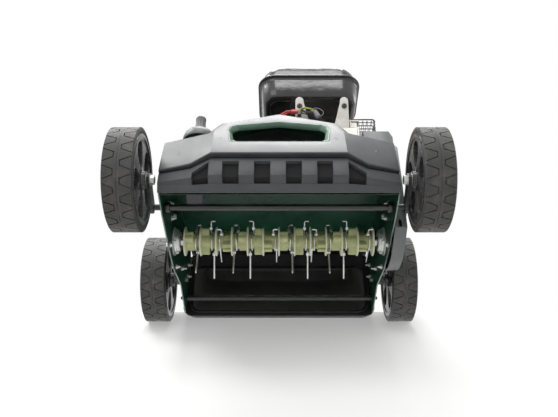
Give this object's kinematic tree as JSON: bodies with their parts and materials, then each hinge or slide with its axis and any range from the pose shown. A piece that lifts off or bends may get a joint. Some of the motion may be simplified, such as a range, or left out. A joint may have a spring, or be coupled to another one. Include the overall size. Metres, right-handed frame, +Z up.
{
  "type": "petrol scarifier",
  "caption": "Walk-behind petrol lawn scarifier: raking rotor of spring tines in a steel deck, engine on top, four wheels, folding handle and collection bag.",
  "frame": {"origin": "on the ground, under the middle of the machine's length and width", "axes": "+Z up, -Y towards the front of the machine, +X towards its belt side"},
  "size_m": [0.63, 1.058, 0.9026],
  "materials": {
    "green_paint": "gloss powder coat",
    "black_plastic": "moulded, satin gloss",
    "grey_plastic": "moulded, fine grain",
    "black_paint": "semi-gloss paint",
    "wheel_plastic": "moulded wheel and block tread",
    "nylon": "natural nylon, slightly translucent",
    "bright_steel": "zinc plated",
    "cast_aluminium": "as cast",
    "bag_fabric": "woven polyester",
    "belt_rubber": "wrapped V belt",
    "wire_cover": "PVC insulated wires"
  },
  "bodies": {
    "chassis": {"air_filter_box": "black_plastic", "bearing_housing_left": "bright_steel", "bearing_housing_right": "bright_steel", "belt_cover": "black_plastic", "carburettor": "cast_aluminium", "crankcase": "cast_aluminium", "cylinder_block": "cast_aluminium", "deck_shell": "green_paint", "drive_belt": "belt_rubber", "front_cover": "black_plastic", "fuel_tank_lower": "black_paint", "fuel_tank_upper": "black_paint", "lower_handle": "black_paint", "muffler": "bright_steel", "muffler_guard": "black_paint", "rear_cross_rod": "black_paint", "recoil_housing": "black_plastic", "side_plate_left": "green_paint", "side_plate_right": "green_paint", "spark_plug_cap": "black_plastic", "valve_cover": "bright_steel", "wire_loom": "wire_cover"},
    "front_axle": {"front_axle_crank": "black_paint"},
    "wheel_fl": {"wheel_front_left": "wheel_plastic"},
    "wheel_fr": {"wheel_front_right": "wheel_plastic"},
    "wheel_rl": {"wheel_rear_left": "wheel_plastic"},
    "wheel_rr": {"wheel_rear_right": "wheel_plastic"},
    "knob": {"depth_knob": "grey_plastic"},
    "crank": {"crankshaft": "bright_steel", "engine_pulley": "bright_steel"},
    "rotor": {"rotor_shaft": "bright_steel", "rotor_hub_stack": "nylon", "rotor_pulley": "bright_steel", "spring_tine_01": "bright_steel", "spring_tine_02": "bright_steel", "spring_tine_03": "bright_steel", "spring_tine_04": "bright_steel", "spring_tine_05": "bright_steel", "spring_tine_06": "bright_steel", "spring_tine_07": "bright_steel", "spring_tine_08": "bright_steel", "spring_tine_09": "bright_steel", "spring_tine_10": "bright_steel", "spring_tine_11": "bright_steel", "spring_tine_12": "bright_steel"},
    "idler_arm_body": {"idler_arm": "bright_steel"},
    "idler": {"idler_pulley": "grey_plastic"},
    "upper_handle": {"upper_handlebar": "black_paint"},
    "bail": {"bail_lever": "black_paint"},
    "clamp_left": {"clamp_knob_left": "black_plastic"},
    "clamp_right": {"clamp_knob_right": "black_plastic"},
    "cap": {"fuel_cap": "black_plastic"},
    "dip": {"dipstick": "grey_plastic"},
    "switch": {"engine_switch": "grey_plastic"},
    "throttle": {"throttle_lever": "bright_steel"},
    "choke": {"choke_lever": "bright_steel"},
    "pull_grip": {"recoil_grip": "black_plastic"},
    "flap": {"rear_flap": "black_plastic"},
    "bag": {"bag_frame": "black_plastic", "bag_cloth": "bag_fabric"}
  },
  "joints": [
    {"name": "front_axle_swing", "type": "hinge", "parent": "chassis", "child": "front_axle", "pos_m": [0, -0.37104, 0.0765], "axis": [1, 0, 0], "range_deg": [-5.4, 5.4]},
    {"name": "wheel_front_left_spin", "type": "hinge", "parent": "front_axle", "child": "wheel_fl", "pos_m": [-0.2865, -0.42904, 0.1], "axis": [1, 0, 0], "continuous": true},
    {"name": "wheel_front_right_spin", "type": "hinge", "parent": "front_axle", "child": "wheel_fr", "pos_m": [0.2865, -0.42904, 0.1], "axis": [1, 0, 0], "continuous": true},
    {"name": "wheel_rear_left_spin", "type": "hinge", "parent": "chassis", "child": "wheel_rl", "pos_m": [-0.2865, -0.02904, 0.1], "axis": [1, 0, 0], "continuous": true},
    {"name": "wheel_rear_right_spin", "type": "hinge", "parent": "chassis", "child": "wheel_rr", "pos_m": [0.2865, -0.02904, 0.1], "axis": [1, 0, 0], "continuous": true},
    {"name": "depth_knob_turn", "type": "hinge", "parent": "chassis", "child": "knob", "pos_m": [-0.163, -0.39904, 0.228], "axis": [0, 0, 1], "range_deg": [-540, 540]},
    {"name": "crank_spin", "type": "hinge", "parent": "chassis", "child": "crank", "pos_m": [0, -0.19404, 0.32], "axis": [1, 0, 0], "continuous": true},
    {"name": "rotor_spin", "type": "hinge", "parent": "chassis", "child": "rotor", "pos_m": [0, -0.22904, 0.085], "axis": [1, 0, 0], "continuous": true},
    {"name": "idler_swing", "type": "hinge", "parent": "chassis", "child": "idler_arm_body", "pos_m": [0.2337, -0.32404, 0.165], "axis": [1, 0, 0], "range_deg": [-15, 0]},
    {"name": "idler_spin", "type": "hinge", "parent": "idler_arm_body", "child": "idler", "pos_m": [0.2405, -0.27904, 0.205], "axis": [1, 0, 0], "continuous": true},
    {"name": "handle_fold", "type": "hinge", "parent": "chassis", "child": "upper_handle", "pos_m": [0, 0.19664, 0.50238], "axis": [1, 0, 0], "range_deg": [0, 105]},
    {"name": "bail_squeeze", "type": "hinge", "parent": "upper_handle", "child": "bail", "pos_m": [0, 0.44412, 0.79731], "axis": [1, 0, 0], "range_deg": [-20, 0], "stiffness_Nm_per_rad": 0.8, "springref_deg": 34.38},
    {"name": "clamp_left_turn", "type": "hinge", "parent": "chassis", "child": "clamp_left", "pos_m": [-0.2506, 0.19664, 0.50238], "axis": [1, 0, 0], "range_deg": [0, 360]},
    {"name": "clamp_right_turn", "type": "hinge", "parent": "chassis", "child": "clamp_right", "pos_m": [0.2506, 0.19664, 0.50238], "axis": [1, 0, 0], "range_deg": [0, 360]},
    {"name": "fuel_cap_turn", "type": "hinge", "parent": "chassis", "child": "cap", "pos_m": [0.044, -0.20604, 0.5796], "axis": [0, 0, 1], "range_deg": [0, 90]},
    {"name": "dipstick_turn", "type": "hinge", "parent": "chassis", "child": "dip", "pos_m": [0.055, -0.27499, 0.26319], "axis": [0, -0.766, 0.6428], "range_deg": [0, 720]},
    {"name": "engine_switch_turn", "type": "hinge", "parent": "chassis", "child": "switch", "pos_m": [0.06, -0.26434, 0.338], "axis": [0, 1, 0], "range_deg": [0, 45]},
    {"name": "throttle_swing", "type": "hinge", "parent": "chassis", "child": "throttle", "pos_m": [0.0275, -0.08434, 0.4105], "axis": [1, 0, 0], "range_deg": [0, 40]},
    {"name": "choke_swing", "type": "hinge", "parent": "chassis", "child": "choke", "pos_m": [0.04, -0.08434, 0.4065], "axis": [1, 0, 0], "range_deg": [0, 40]},
    {"name": "recoil_pull", "type": "slide", "parent": "chassis", "child": "pull_grip", "axis": [-0.5998, 0.2999, 0.7418], "range_m": [0, 0.5], "stiffness_N_per_m": 20, "springref_m": -0.25},
    {"name": "rear_flap_lift", "type": "hinge", "parent": "chassis", "child": "flap", "pos_m": [0, 0.01496, 0.208], "axis": [1, 0, 0], "range_deg": [0, 60]},
    {"name": "bag_slide", "type": "slide", "parent": "chassis", "child": "bag", "axis": [0, 1, 0], "range_m": [0, 0.12]}
  ],
  "couplings": [
    {"joint": "front_axle_swing", "follows": "depth_knob_turn", "ratio": 0.01},
    {"joint": "rotor_spin", "follows": "crank_spin", "ratio": 0.75},
    {"joint": "idler_swing", "follows": "bail_squeeze", "ratio": 0.75}
  ]
}
